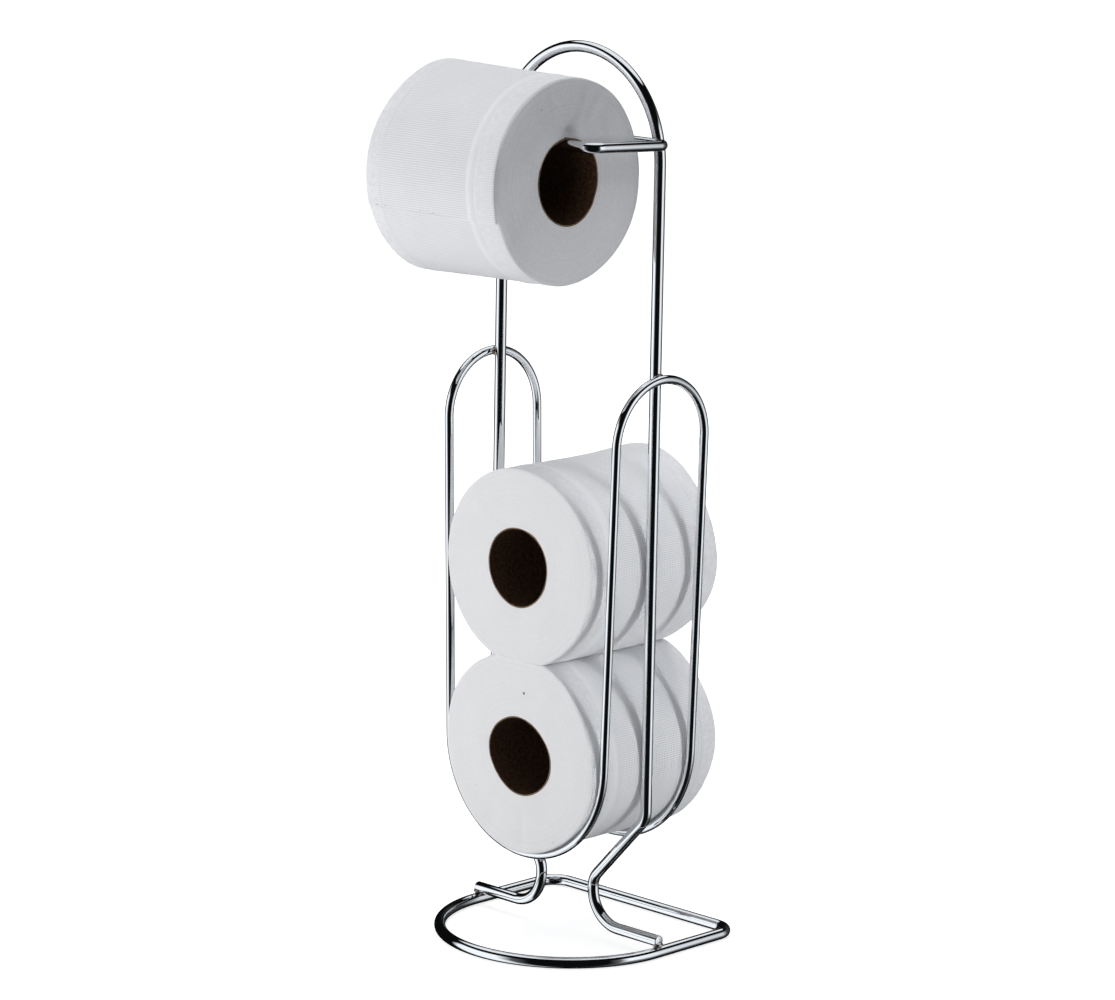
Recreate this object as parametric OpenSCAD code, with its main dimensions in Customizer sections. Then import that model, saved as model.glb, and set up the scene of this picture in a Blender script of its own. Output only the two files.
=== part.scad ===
// Free-standing toilet roll holder of bent and welded round wire, loaded with three rolls.
// One roll hangs on the arm at the top and two are stacked in the cradle below it.
// X runs from upright to upright, -Y is the front, where the base is rounded, and Z is up.
// The origin lies on the floor, midway between the two uprights.

/* [Stored rolls] */
// Diameter of a full roll
roll_d = 112.6; // [100:0.2:122]
// Width of a full roll
roll_w = 100; // [92:0.5:110]
// Rounding of a roll's outer edges
roll_edge_r = 3; // [1:0.25:5]
// How far each roll is pressed flat where one stands on the other
roll_squash = 3.4; // [1:0.1:5]
// Bore of a roll's cardboard core
core_bore_d = 45; // [38:0.2:50]
// Wall of a cardboard core
core_wall = 0.8; // [0.5:0.1:1.5]
// How far the lower roll's front stands past the cradle
lower_roll_proud = 4; // [0:0.5:12]
// How far the upper roll's front stands past the cradle
upper_roll_proud = 6; // [0:0.5:12]

/* [Roll on the arm] */
// Diameter of the roll in use, which is a little smaller
top_roll_d = 110; // [70:0.5:112]
// Width of the roll in use
top_roll_w = 98; // [90:0.5:108]
// Gap between the roll in use and the arm's side
top_roll_gap = 15; // [4:0.5:20]
// Thickness of the loose outer sheet
tail_t = 0.4; // [0.3:0.1:1]
// Gap between the loose sheet and the roll
tail_gap = 0.1; // [0.05:0.05:0.3]
// How far below the roll's middle the loose sheet ends, in degrees
tail_end_angle = 23; // [0:1:60]
// How much of the roll the loose sheet wraps, in degrees
tail_wrap_angle = 150; // [60:1:200]

/* [Frame wire] */
// Diameter of the frame's wire
frame_d = 6.4; // [5:0.1:8]
// Height of the arch's top above the floor
stand_h = 506; // [490:1:560]
// Room between a stored roll and each upright
upright_play = 0.5; // [0.3:0.1:4]
// Distance between the two necks, centre to centre
neck_spacing = 41; // [34:0.5:56]
// Height of the straight stretch at a neck
neck_run = 1; // [0.5:0.5:6]
// Bend radius just above a neck
neck_r = 12; // [8:0.5:16]
// Bend radius at the bottom of an upright
hip_r = 12; // [8:0.5:18]
// Lean of the wire between a neck and an upright, from the vertical
hip_lean = 43; // [35:0.5:52]
// Bend radius from a neck to a foot
foot_r = 20; // [14:0.5:24]
// How far a foot runs past the middle of the base's side wire
foot_overhang = 1; // [0:0.25:3]

/* [Base wire] */
// Diameter of the base's wire
base_d = 6.4; // [5:0.1:8]
// Width of the base, centre to centre of its side wires
base_w = 142.4; // [136:0.5:180]
// Distance from the uprights back to the base's rear wire
base_back = 63; // [50:0.5:90]
// Distance from the uprights forward to the base's front
base_front = 72.6; // [71:0.5:110]
// Bend radius of the base's two rear corners
base_corner_r = 12; // [8:0.5:24]

/* [Cradle wire] */
// Diameter of the cradle's wire
cradle_d = 5; // [4:0.1:6]
// Distance between the cradle's front and rear wires
cradle_w = 70; // [56:0.5:84]
// Room inside the cradle's round bottom, beyond the roll's radius
cradle_play = 1.6; // [0.6:0.1:4]
// Height of the cradle's lowest point above the floor
cradle_bottom = 50; // [44:0.5:60]
// Height of the cradle's two arches above the floor
cradle_top = 329; // [310:1:360]

/* [Arm wire] */
// Diameter of the arm's wire
arm_d = 5.9; // [4.5:0.1:7]
// How far the arm's crossbar lies below the top of the arch
arm_drop = 50.7; // [38:0.1:62]
// How far the arm's side lies outside the upright
arm_overhang = 11; // [10:0.5:16]
// Room between the largest roll on the rod and the crossbar
arm_room = 1.1; // [0.5:0.1:15]
// Upward slope of the arm towards the front, in degrees
arm_rise = 2.3; // [0:0.1:6]
// Bend radius of the arm's two corners
arm_corner_r = 7; // [6:0.5:12]
// How far the crossbar runs past the left upright
crossbar_tail = 6; // [4:0.5:12]
// How far the rod runs past the left upright
rod_tail = 0; // [-6:0.5:10]

/* [Fits] */
// Clearance between a roll and what it rests on
rest_gap = 0.3; // [0.2:0.05:0.5]
// Gap between two wires that a weld fills
weld_gap = 0.15; // [0.1:0.05:0.3]
// Radius of the weld metal where two wires cross
weld_r = 2.2; // [1:0.1:2.4]
// Length of the weld round the base wire's butt joint
seam_w = 2.4; // [1.5:0.1:4]
// How far that weld stands proud of the wire
seam_h = 0.3; // [0.2:0.05:0.5]
// How far below the wire's middle that weld reaches
seam_ground = 1.6; // [0:0.1:2.2]

/* [Hidden] */
$fn = 96;
wire_fn = 48;
bend_thinning = 0.02;
lap = 0.05;
roll_r = roll_d / 2;
core_r = core_bore_d / 2 + core_wall;
upright_x = roll_r + upright_play + frame_d / 2;

// The foot lies on the base's side wire, and the neck, hip and arch follow from it.
base_x = base_w / 2;
base_z = base_d / 2;
foot_z = base_d + weld_gap + frame_d / 2;
neck_x = neck_spacing / 2;
foot_run = base_x + foot_overhang - neck_x - foot_r;
hip_shift = (neck_r + hip_r) * (1 - cos(hip_lean));
hip_run = (upright_x - neck_x - hip_shift) / sin(hip_lean);
hip_z = foot_z + foot_r + neck_run + (neck_r + hip_r) * sin(hip_lean) + hip_run * cos(hip_lean);
arch_z = stand_h - frame_d / 2 - upright_x;

// The cradle's legs lean out, tangent to its round bottom, to meet the uprights' outer sides.
cradle_r = roll_r + cradle_play + cradle_d / 2;
cradle_y = cradle_w / 2;
cradle_z = cradle_bottom + cradle_d / 2 + cradle_r;
arch_x = upright_x + frame_d / 2 + weld_gap + cradle_d / 2;
arch_rise = cradle_top - cradle_d / 2 - cradle_z;
arch_reach = sqrt(arch_x * arch_x + arch_rise * arch_rise);
leg_lean = atan2(arch_x, arch_rise) - asin(cradle_r / arch_reach);
leg_run = sqrt(arch_reach * arch_reach - cradle_r * cradle_r) - cradle_y;

// The arm reaches as far forward as a roll that hangs on the rod needs, clear of the crossbar.
roll_hang = (core_bore_d - arm_d) / 2 - rest_gap;
widest_roll_r = max(roll_d, top_roll_d + 2 * (tail_gap + tail_t)) / 2;
roll_to_crossbar = widest_roll_r + arm_room + arm_d / 2;
arm_reach = roll_hang * sin(arm_rise) + sqrt(pow(roll_to_crossbar, 2) - pow(roll_hang * cos(arm_rise), 2));

// The crossbar lies on the uprights' front sides, where the arch has already begun.
arm_z = stand_h - arm_drop;
crossbar_y = -(frame_d / 2 + weld_gap + arm_d / 2);
arm_x = upright_x + arm_overhang;
crossbar_run = upright_x + crossbar_tail + arm_x - arm_corner_r;
rod_run = upright_x + rod_tail + arm_x - arm_corner_r;
rod_y = crossbar_y - arm_reach * cos(arm_rise);
rod_z = arm_z + arm_reach * sin(arm_rise);
arch_lift = max(arm_z - arch_z, 0);
crossing_x = sqrt(upright_x * upright_x - arch_lift * arch_lift);

// Each roll rests on what carries it with a small gap.
lower_z = cradle_z - cradle_play + rest_gap;
upper_z = lower_z + 2 * (roll_r - roll_squash) + rest_gap;
cradle_front = cradle_y + cradle_d / 2;
top_roll_z = rod_z - roll_hang;
top_roll_x = arm_x - arm_d / 2 - top_roll_gap - top_roll_w;

chrome_colour = [0.78, 0.79, 0.81];
weld_colour = [0.55, 0.5, 0.46];
paper_colour = [0.93, 0.93, 0.94];
sheet_colour = [0.96, 0.96, 0.97];
card_colour = [0.36, 0.27, 0.21];

// One round bend in the XZ plane, from upright at the origin towards +X. Bending draws the wire a little thinner.
module bend(diameter, radius, angle) {
    translate([radius, 0, 0])
        rotate([90, 0, 180])
            rotate_extrude(angle = angle)
                translate([radius, 0])
                    circle(d = diameter - bend_thinning, $fn = wire_fn);
}

// One straight run, which laps into the bends at its start and its end.
module straight(diameter, run, start_lap = lap, end_lap = lap) {
    translate([0, 0, -start_lap])
        cylinder(d = diameter, h = run + start_lap + end_lap, $fn = wire_fn);
}

// A wire bent flat, given as straight runs that each end in a bend: [run, radius, angle].
// It starts upwards, a positive angle bends it towards +X, and a closed one comes back to its start.
module wire(diameter, moves, closed = false, i = 0) {
    run = moves[i][0];
    radius = moves[i][1];
    angle = moves[i][2];
    side = angle < 0 ? 180 : 0;
    straight(diameter, run, closed || i > 0 ? lap : 0, angle == 0 ? 0 : lap);
    if (angle != 0)
        translate([0, 0, run])
            rotate([0, 0, side]) {
                bend(diameter, radius, abs(angle));
                if (i + 1 < len(moves))
                    translate([radius * (1 - cos(angle)), 0, radius * sin(abs(angle))])
                        rotate([0, abs(angle), 0])
                            rotate([0, 0, -side])
                                wire(diameter, moves, closed, i + 1);
            }
}

// Both halves of something that is alike left and right.
module both_sides() {
    children();
    mirror([1, 0, 0]) children();
}

// The frame is one wire: foot, neck, hip, upright and arch, then the same down the other side.
module frame_wire() {
    moves = [
        [foot_run, foot_r, 90],
        [neck_run, neck_r, hip_lean],
        [hip_run, hip_r, -hip_lean],
        [arch_z - hip_z, upright_x, -180],
        [arch_z - hip_z, hip_r, -hip_lean],
        [hip_run, neck_r, hip_lean],
        [neck_run, foot_r, 90],
        [foot_run, 0, 0]
    ];
    color(chrome_colour)
        translate([base_x + foot_overhang, 0, foot_z])
            rotate([0, -90, 0])
                wire(frame_d, moves);
}

// The floor ring: a straight back, two round corners, straight sides and a half-round front.
module base_wire() {
    front_centre = base_x - base_front;
    back_run = base_w - 2 * base_corner_r;
    side_run = base_back - base_corner_r - front_centre;
    moves = [
        [back_run, base_corner_r, 90],
        [side_run, base_x, 180],
        [side_run, base_corner_r, 90]
    ];
    color(chrome_colour)
        translate([-back_run / 2, base_back, base_z])
            rotate([0, 90, 0])
                rotate([0, 0, -90])
                    wire(base_d, moves, closed = true);
}

// One of the cradle's two U-shaped wires, in the XZ plane.
module cradle_u() {
    both_sides() cradle_leg() straight(cradle_d, leg_run);
    cradle_leg()
        rotate([0, 180, 0])
            bend(cradle_d, cradle_r, 180 - 2 * leg_lean);
}

// Puts its children at the foot of the right-hand leg, along its lean.
module cradle_leg() {
    translate([cradle_r * cos(leg_lean), 0, cradle_z - cradle_r * sin(leg_lean)])
        rotate([0, leg_lean, 0])
            children();
}

// The cradle is one closed ring: two U-shaped wires joined by an arch at each side.
module cradle_wire() {
    color(chrome_colour) {
        for (y = [-cradle_y, cradle_y])
            translate([0, y, 0]) cradle_u();
        both_sides()
            cradle_leg()
                translate([0, -cradle_y, leg_run])
                    rotate([0, 0, 90])
                        bend(cradle_d, cradle_y, 180);
    }
}

// The arm: a crossbar on the uprights, a side that runs forward, and the rod that holds a roll.
module arm_wire() {
    moves = [
        [crossbar_run, arm_corner_r, 90],
        [arm_reach - 2 * arm_corner_r, arm_corner_r, 90],
        [rod_run, 0, 0]
    ];
    color(chrome_colour)
        translate([-upright_x - crossbar_tail, crossbar_y, arm_z])
            rotate([-arm_rise, 0, 0])
                rotate([0, 90, 0])
                    rotate([0, 0, -90])
                        wire(arm_d, moves);
}

// Where two wires cross, a plug of weld metal joins them. It runs along +Z from wire to wire.
module weld_plug(reach_a, reach_b) {
    translate([0, 0, -reach_a])
        cylinder(r = weld_r, h = reach_a + reach_b, $fn = wire_fn);
}

module cradle_welds() {
    color(weld_colour)
        for (side = [0, 180])
            difference() {
                rotate([0, 0, side])
                    translate([upright_x + (frame_d + weld_gap) / 2, 0, cradle_top - cradle_d / 2])
                        rotate([0, 90, 0])
                            weld_plug(frame_d / 2, cradle_d / 2);
                frame_wire();
                cradle_wire();
            }
}

module arm_welds() {
    color(weld_colour)
        for (side = [-1, 1])
            difference() {
                translate([side * crossing_x, -(frame_d + weld_gap) / 2, arm_z])
                    rotate([90, 0, 0])
                        weld_plug(frame_d / 2, arm_d / 2);
                frame_wire();
                arm_wire();
            }
}

module foot_welds() {
    color(weld_colour)
        for (side = [-1, 1])
            difference() {
                translate([side * base_x, 0, base_d + weld_gap / 2])
                    weld_plug(base_d / 2, frame_d / 2);
                frame_wire();
                base_wire();
            }
}

// The base ring closes in a butt joint at the start of its left side. It is ground off underneath.
module base_seam_weld() {
    color(weld_colour)
        translate([-base_x, base_back - base_corner_r - 2 * lap, base_z])
            difference() {
                rotate([90, 0, 0])
                    cylinder(d = base_d + 2 * seam_h, h = seam_w, $fn = wire_fn);
                rotate([90, 0, 0])
                    translate([0, 0, -1]) cylinder(d = base_d, h = seam_w + 2, $fn = wire_fn);
                translate([-base_d, -base_d, -base_d - seam_ground])
                    cube([2 * base_d, 2 * base_d, base_d]);
            }
}

// A roll's paper along +Z, with rounded outer edges and its core left out.
module roll_paper(diameter, width) {
    edge = diameter / 2 - roll_edge_r;
    difference() {
        union() {
            cylinder(r = edge, h = width);
            translate([0, 0, roll_edge_r])
                cylinder(d = diameter, h = width - 2 * roll_edge_r);
            for (z = [roll_edge_r, width - roll_edge_r])
                translate([0, 0, z])
                    rotate_extrude()
                        translate([edge, 0])
                            circle(r = roll_edge_r, $fn = wire_fn);
        }
        translate([0, 0, -1]) cylinder(r = core_r, h = width + 2);
    }
}

// A cardboard core along +Z, open at both ends.
module roll_core(width) {
    difference() {
        cylinder(r = core_r, h = width);
        translate([0, 0, -1]) cylinder(d = core_bore_d, h = width + 2);
    }
}

// Puts a stored roll's children with their axis from front to back, at a height.
module stored(proud, z) {
    translate([0, -cradle_front - proud, z])
        rotate([-90, 0, 0])
            children();
}

// Puts the children of the roll in use along X, hanging on the rod.
module hanging() {
    translate([top_roll_x, rod_y, top_roll_z])
        rotate([0, 90, 0])
            children();
}

// The space that a stored roll keeps to: it is pressed flat on the side of the other roll.
module pressed(z, up) {
    flat = roll_r - roll_squash;
    translate([-roll_d, -roll_w * 2, up ? z - roll_d : z - flat])
        cube([2 * roll_d, 4 * roll_w, roll_d + flat]);
}

module lower_roll_paper() {
    color(paper_colour)
        intersection() {
            stored(lower_roll_proud, lower_z) roll_paper(roll_d, roll_w);
            pressed(lower_z, true);
        }
}

module lower_roll_core() {
    color(card_colour) stored(lower_roll_proud, lower_z) roll_core(roll_w);
}

module upper_roll_paper() {
    color(paper_colour)
        intersection() {
            stored(upper_roll_proud, upper_z) roll_paper(roll_d, roll_w);
            pressed(upper_z, false);
        }
}

module upper_roll_core() {
    color(card_colour) stored(upper_roll_proud, upper_z) roll_core(roll_w);
}

module top_roll_paper() {
    color(paper_colour) hanging() roll_paper(top_roll_d, top_roll_w);
}

module top_roll_core() {
    color(card_colour) hanging() roll_core(top_roll_w);
}

// The last sheet comes over the top of the roll and ends on its front.
module top_roll_tail() {
    end = 270 + tail_end_angle;
    color(sheet_colour)
        hanging()
            translate([0, 0, roll_edge_r])
                rotate([0, 0, end - tail_wrap_angle])
                    rotate_extrude(angle = tail_wrap_angle)
                        translate([top_roll_d / 2 + tail_gap, 0])
                            square([tail_t, top_roll_w - 2 * roll_edge_r]);
}

frame_wire();
cradle_wire();
base_wire();
arm_wire();
cradle_welds();
arm_welds();
foot_welds();
base_seam_weld();
top_roll_paper();
top_roll_core();
top_roll_tail();
upper_roll_paper();
upper_roll_core();
lower_roll_paper();
lower_roll_core();
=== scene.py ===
"""Looks of a free-standing toilet roll holder of bent chromed wire, with three tissue rolls."""
from collections import namedtuple
from math import asin, atan2, cos, exp, hypot, pi, radians, sin, sqrt, tau

import bmesh
import bpy
from mathutils import Matrix, Vector, noise


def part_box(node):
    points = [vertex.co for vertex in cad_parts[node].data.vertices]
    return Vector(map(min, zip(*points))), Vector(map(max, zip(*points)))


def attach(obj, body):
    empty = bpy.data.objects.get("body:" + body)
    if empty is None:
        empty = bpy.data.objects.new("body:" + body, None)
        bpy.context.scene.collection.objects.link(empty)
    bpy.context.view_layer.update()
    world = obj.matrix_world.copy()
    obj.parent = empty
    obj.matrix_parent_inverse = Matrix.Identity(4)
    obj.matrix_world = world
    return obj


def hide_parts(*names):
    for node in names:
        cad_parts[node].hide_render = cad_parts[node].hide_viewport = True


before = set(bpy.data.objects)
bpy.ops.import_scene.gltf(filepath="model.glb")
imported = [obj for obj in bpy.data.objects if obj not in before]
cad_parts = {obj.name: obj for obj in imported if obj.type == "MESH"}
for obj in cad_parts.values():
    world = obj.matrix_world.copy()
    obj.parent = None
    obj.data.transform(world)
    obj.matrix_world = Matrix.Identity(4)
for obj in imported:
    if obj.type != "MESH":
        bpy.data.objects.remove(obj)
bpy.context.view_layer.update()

MM = 0.001
UP, BACK, RIGHT = Vector((0, 0, 1)), Vector((0, 1, 0)), Vector((1, 0, 0))

# The camera stands where the photograph was taken from.
CAMERA_TARGET = Vector((-0.0061, -0.0071, 0.2498))
CAMERA_AZIMUTH, CAMERA_ELEVATION, CAMERA_ROLL = radians(44.34), radians(11.29), radians(1.0)
CAMERA_DISTANCE = 2.345
CAMERA_LENS, SENSOR_WIDTH = 135.67, 36.0


def toward(azimuth, elevation):
    """The direction seen at an azimuth, 0 being the front and 90 the right, and an elevation."""
    return Vector((sin(azimuth) * cos(elevation), -cos(azimuth) * cos(elevation), sin(elevation)))


def place_camera():
    """Makes the camera, turned about its own line of sight by the photograph's small roll."""
    away = toward(CAMERA_AZIMUTH, CAMERA_ELEVATION)
    level = Vector((cos(CAMERA_AZIMUTH), sin(CAMERA_AZIMUTH), 0))
    facing = Matrix((level, away.cross(level), away)).transposed()
    turn = facing @ Matrix.Rotation(CAMERA_ROLL, 3, "Z")
    lens = bpy.data.cameras.new("camera")
    lens.lens, lens.sensor_width = CAMERA_LENS, SENSOR_WIDTH
    camera = bpy.data.objects.new("camera", lens)
    stand_at = CAMERA_TARGET + away * CAMERA_DISTANCE
    camera.matrix_world = Matrix.Translation(stand_at) @ turn.to_4x4()
    bpy.context.scene.collection.objects.link(camera)
    bpy.context.scene.camera = camera


# Materials. The scale of a noise is per metre.

def add(tree, kind, inputs=(), **settings):
    """Adds a shader node, sets its settings, and sets or links its inputs by name or number."""
    made = tree.nodes.new("ShaderNode" + kind)
    for name, value in settings.items():
        setattr(made, name, value)
    for key, value in dict(inputs).items():
        if isinstance(value, bpy.types.NodeSocket):
            tree.links.new(value, made.inputs[key])
        else:
            made.inputs[key].default_value = value
    return made


def calc(tree, operation, *values):
    """One arithmetic node, as its output socket."""
    return add(tree, "Math", dict(enumerate(values)), operation=operation).outputs[0]


def plus(tree, first, second):
    return calc(tree, "ADD", first, second)


def times(tree, first, second):
    return calc(tree, "MULTIPLY", first, second)


def blend_colours(tree, amount, first, second):
    """Mixes two colours by an amount, as an output socket."""
    colours = {
        key: value if isinstance(value, bpy.types.NodeSocket) else (*value, 1)
        for key, value in ((6, first), (7, second))
    }
    return add(tree, "Mix", {0: amount, **colours}, data_type="RGBA").outputs[2]


def ramp(tree, value, stops):
    """A ramp of greys, given as (place, grey) pairs, as its colour socket."""
    made = add(tree, "ValToRGB", {0: value})
    elements = made.color_ramp.elements
    for place, grey in stops[1:-1]:
        elements.new(place).color = (grey, grey, grey, 1)
    for element, (place, grey) in zip((elements[0], elements[-1]), (stops[0], stops[-1])):
        element.position, element.color = place, (grey, grey, grey, 1)
    return made.outputs[0]


def fine_noise(tree, place, scale, detail=2.0):
    """Soft noise at a place, as an output socket."""
    inputs = {"Vector": place, "Scale": scale, "Detail": detail}
    return add(tree, "TexNoise", inputs).outputs[0]


NOISE_LOW, NOISE_HIGH = 0.3, 0.7


def spread(tree, value, low=0.0, high=1.0):
    """Takes noise from its middle range to a range of its own."""
    inputs = {0: value, 1: NOISE_LOW, 2: NOISE_HIGH, 3: low, 4: high}
    return add(tree, "MapRange", inputs).outputs[0]


def length_of(tree, vector):
    """The length of a vector, as an output socket."""
    return add(tree, "VectorMath", {0: vector}, operation="LENGTH").outputs["Value"]


def shaded(name, **sockets):
    """A new material with constant sockets on its shader. Returns it, its tree and its shader."""
    material = bpy.data.materials.new(name)
    material.use_nodes = True
    shader = material.node_tree.nodes["Principled BSDF"]
    for key, value in sockets.items():
        shader.inputs[key.replace("_", " ")].default_value = value
    return material, material.node_tree, shader


def relief(tree, shader, height, depth, strength=1.0):
    """Gives a shader a bump of a depth in metres."""
    bump = add(tree, "Bump", {"Strength": strength, "Distance": depth, "Height": height})
    tree.links.new(bump.outputs[0], shader.inputs["Normal"])


PLATE_DIM, PLATE_BRIGHT = (0.80, 0.815, 0.835), (0.87, 0.88, 0.895)
PLATE_HAZE, RUBBED_HAZE = (0.012, 0.04), 0.07
HAZE_SCALE, RUB_SCALE, DRAWN_SCALE = 55.0, 160.0, 38.0
RUBBED_WHERE = ((0.0, 0.0), (0.66, 0.0), (0.74, 1.0), (1.0, 1.0))
DRAWN_DEPTH, DRAWN_STRENGTH = 0.22 * MM, 0.2


def chrome():
    """Bright chrome plate on drawn wire, with faint unevenness, haze and a few rubbed places."""
    material, tree, shader = shaded("chrome_plate", Metallic=1.0)
    place = add(tree, "TexCoord").outputs["Object"]
    haze = fine_noise(tree, place, HAZE_SCALE, detail=3.0)
    rubbed = ramp(tree, fine_noise(tree, place, RUB_SCALE, detail=5.0), RUBBED_WHERE)
    dull = plus(tree, spread(tree, haze, *PLATE_HAZE), times(tree, rubbed, RUBBED_HAZE))
    tree.links.new(dull, shader.inputs["Roughness"])
    colour = blend_colours(tree, haze, PLATE_DIM, PLATE_BRIGHT)
    tree.links.new(colour, shader.inputs["Base Color"])
    drawn = fine_noise(tree, place, DRAWN_SCALE, detail=1.0)
    relief(tree, shader, drawn, DRAWN_DEPTH, DRAWN_STRENGTH)
    return material


WELD_BROWN, WELD_GREY = (0.26, 0.19, 0.13), (0.68, 0.67, 0.65)
TINT_SCALE, WELD_ROUGH, WELD_SMOOTH = 300.0, 0.38, 0.16
WELD_GRAIN_SCALE, WELD_GRAIN_DEPTH, WELD_GRAIN_STRENGTH = 700.0, 0.2 * MM, 0.6


def weld_metal():
    """Plated weld metal, rippled and in places heat-tinted brown."""
    material, tree, shader = shaded("weld_metal", Metallic=0.95)
    place = add(tree, "TexCoord").outputs["Object"]
    tint = fine_noise(tree, place, TINT_SCALE, detail=3.0)
    colour = blend_colours(tree, spread(tree, tint), WELD_BROWN, WELD_GREY)
    tree.links.new(colour, shader.inputs["Base Color"])
    tree.links.new(spread(tree, tint, WELD_ROUGH, WELD_SMOOTH), shader.inputs["Roughness"])
    grain = fine_noise(tree, place, WELD_GRAIN_SCALE, detail=2.0)
    relief(tree, shader, grain, WELD_GRAIN_DEPTH, WELD_GRAIN_STRENGTH)
    return material


# The tissue: a grid of fine embossed dots, with a smooth ridge and two rough bands near the ends
# of a roll. ROUGH_END and the groove are measured from its far end, the others from its near one.
EMBOSS_PITCH, EMBOSS_DEPTH = 1.27 * MM, 0.10 * MM
ROUGH_END, GROOVE_AT = 10 * MM, 12 * MM
DOTTED_RIM, ROUGH_BAND, RIDGE_BAND = 7.3 * MM, 15 * MM, 21 * MM
BAND_SOFT = 1.2 * MM
TISSUE_LIGHT, TISSUE_SHADE = (0.865, 0.865, 0.88), (0.83, 0.835, 0.86)
# Painted shade: the colour on the next line, by the two amounts after it, darkens the sunk embossed
# dots and the rough blotches.
PIT_SHADE_COLOUR = (0.55, 0.56, 0.60)
PIT_SHADE_AMOUNT, BLOTCH_SHADE_AMOUNT = 0.85, 0.22
BLOTCH_DEPTH, FIBRE_HEIGHT = 1.3, 0.7
BLOTCH_SCALE, FIBRE_SCALE, CLOUD_SCALE = 420.0, 1100.0, 42.0


def wound_place(tree):
    """Place on a roll before it was pressed: way from the axis, angle, way along, and all three."""
    mark = add(tree, "Attribute", attribute_name="wound", attribute_type="GEOMETRY")
    wound = mark.outputs["Vector"]
    axes = add(tree, "SeparateXYZ", {0: wound}).outputs
    flat = add(tree, "CombineXYZ", {0: axes[0], 1: axes[1]}).outputs[0]
    return length_of(tree, flat), calc(tree, "ARCTAN2", axes[1], axes[0]), axes[2], wound


def embossing(tree, angle, along, radius):
    """A grid of dots round and along a roll, from 0 between them to 1 at their middles."""
    rates = (angle, round(tau * radius / EMBOSS_PITCH)), (along, tau / EMBOSS_PITCH)
    waves = [
        plus(tree, times(tree, calc(tree, "COSINE", times(tree, way, rate)), 0.5), 0.5)
        for way, rate in rates
    ]
    return times(tree, *waves)


def tissue_skin(name, radius, width):
    """The outside of a roll, with painted shade darkening its sunk embossed dots and blotches."""
    material, tree, shader = shaded(name, Roughness=0.95, Specular_IOR_Level=0.12)
    _, angle, along, wound = wound_place(tree)
    dots = embossing(tree, angle, along, radius)
    share = calc(tree, "DIVIDE", along, width)
    soft = BAND_SOFT / width

    def bands(*levels):
        """A ramp along the roll from (where a band ends, level) pairs, with soft steps."""
        stops = []
        for end, level in levels:
            stops.append((stops[-1][0] + 2 * soft if stops else 0.0, level))
            stops.append((end / width - soft if end < width else 1.0, level))
        return ramp(tree, share, stops)

    ridge, band, rim = width - RIDGE_BAND, width - ROUGH_BAND, width - DOTTED_RIM
    embossed = bands((ROUGH_END, 0.25), (ridge, 1.0), (band, 0.15), (rim, 0.3), (width, 0.9))
    rough = bands((ROUGH_END, 1.0), (ridge, 0.0), (band, 0.15), (rim, 1.0), (width, 0.1))
    blotch = times(tree, spread(tree, fine_noise(tree, wound, BLOTCH_SCALE, detail=1.0)), rough)
    fibres = fine_noise(tree, wound, FIBRE_SCALE, detail=3.0)
    cloud = spread(tree, fine_noise(tree, wound, CLOUD_SCALE, detail=3.0))
    colour = blend_colours(tree, cloud, TISSUE_SHADE, TISSUE_LIGHT)
    # Painted shade: the dots and blotches that the bump sinks are also darkened in colour.
    painted_pit_shade = times(tree, dots, times(tree, embossed, PIT_SHADE_AMOUNT))
    painted_pit_shade = plus(tree, painted_pit_shade, times(tree, blotch, BLOTCH_SHADE_AMOUNT))
    tree.links.new(blend_colours(tree, painted_pit_shade, colour, PIT_SHADE_COLOUR), shader.inputs["Base Color"])
    sunk = plus(tree, times(tree, dots, embossed), times(tree, blotch, BLOTCH_DEPTH))
    raised = times(tree, fibres, FIBRE_HEIGHT)
    relief(tree, shader, calc(tree, "SUBTRACT", raised, sunk), EMBOSS_DEPTH)
    return material


LAYERS_PER_METRE, LAYER_DRIFT, LAYER_SCALE = 1000.0, 3.0, 1.3
DRIFT_SCALE, EDGE_FIBRE_SCALE = 22.0, 650.0
LAYER_SHARE, EDGE_FIBRE_SHARE, EDGE_DEPTH = 0.55, 0.45, 0.3 * MM
FLECK_COLOUR = (0.12, 0.12, 0.13)


def tissue_edges(name, light, shade, width, flecks):
    """The ends of a roll, where the edges of the wound layers show as fine uneven rings. Their
    colour
    follows the noise of their relief: partly the paper's own tone, partly painted shade where it
    lies low.

    Its +Z end has flecks, given as x, y, size and strength.
    """
    material, tree, shader = shaded(name, Roughness=1.0, Specular_IOR_Level=0.08)
    away, _, _, wound = wound_place(tree)
    drift = fine_noise(tree, wound, DRIFT_SCALE)
    turn = plus(tree, times(tree, away, LAYERS_PER_METRE), times(tree, drift, LAYER_DRIFT))
    inputs = {"W": turn, "Scale": LAYER_SCALE, "Detail": 5.0}
    layers = add(tree, "TexNoise", inputs, noise_dimensions="1D").outputs[0]
    fibres = fine_noise(tree, wound, EDGE_FIBRE_SCALE, detail=4.0)
    mixed = plus(tree, times(tree, layers, LAYER_SHARE), times(tree, fibres, EDGE_FIBRE_SHARE))
    # Painted shade, with some of the paper's own tone: the colour is darker where the relief below
    # lies low.
    colour = blend_colours(tree, spread(tree, mixed), shade, light)
    for x, y, size, strength in flecks:
        middle = (x, y, width)
        gap = add(tree, "VectorMath", {0: wound, 1: middle}, operation="SUBTRACT").outputs[0]
        spot = times(tree, calc(tree, "LESS_THAN", length_of(tree, gap), size), strength)
        colour = blend_colours(tree, spot, colour, FLECK_COLOUR)
    tree.links.new(colour, shader.inputs["Base Color"])
    relief(tree, shader, mixed, EDGE_DEPTH)
    return material


SEAM_CLIMB, SEAM_WIDTH, SEAM_STRENGTH = 14.0, 0.012, 0.5
CARD_FIBRE_SCALE, CARD_DEPTH, CARD_STRENGTH = 600.0, 0.12 * MM, 0.7


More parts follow.
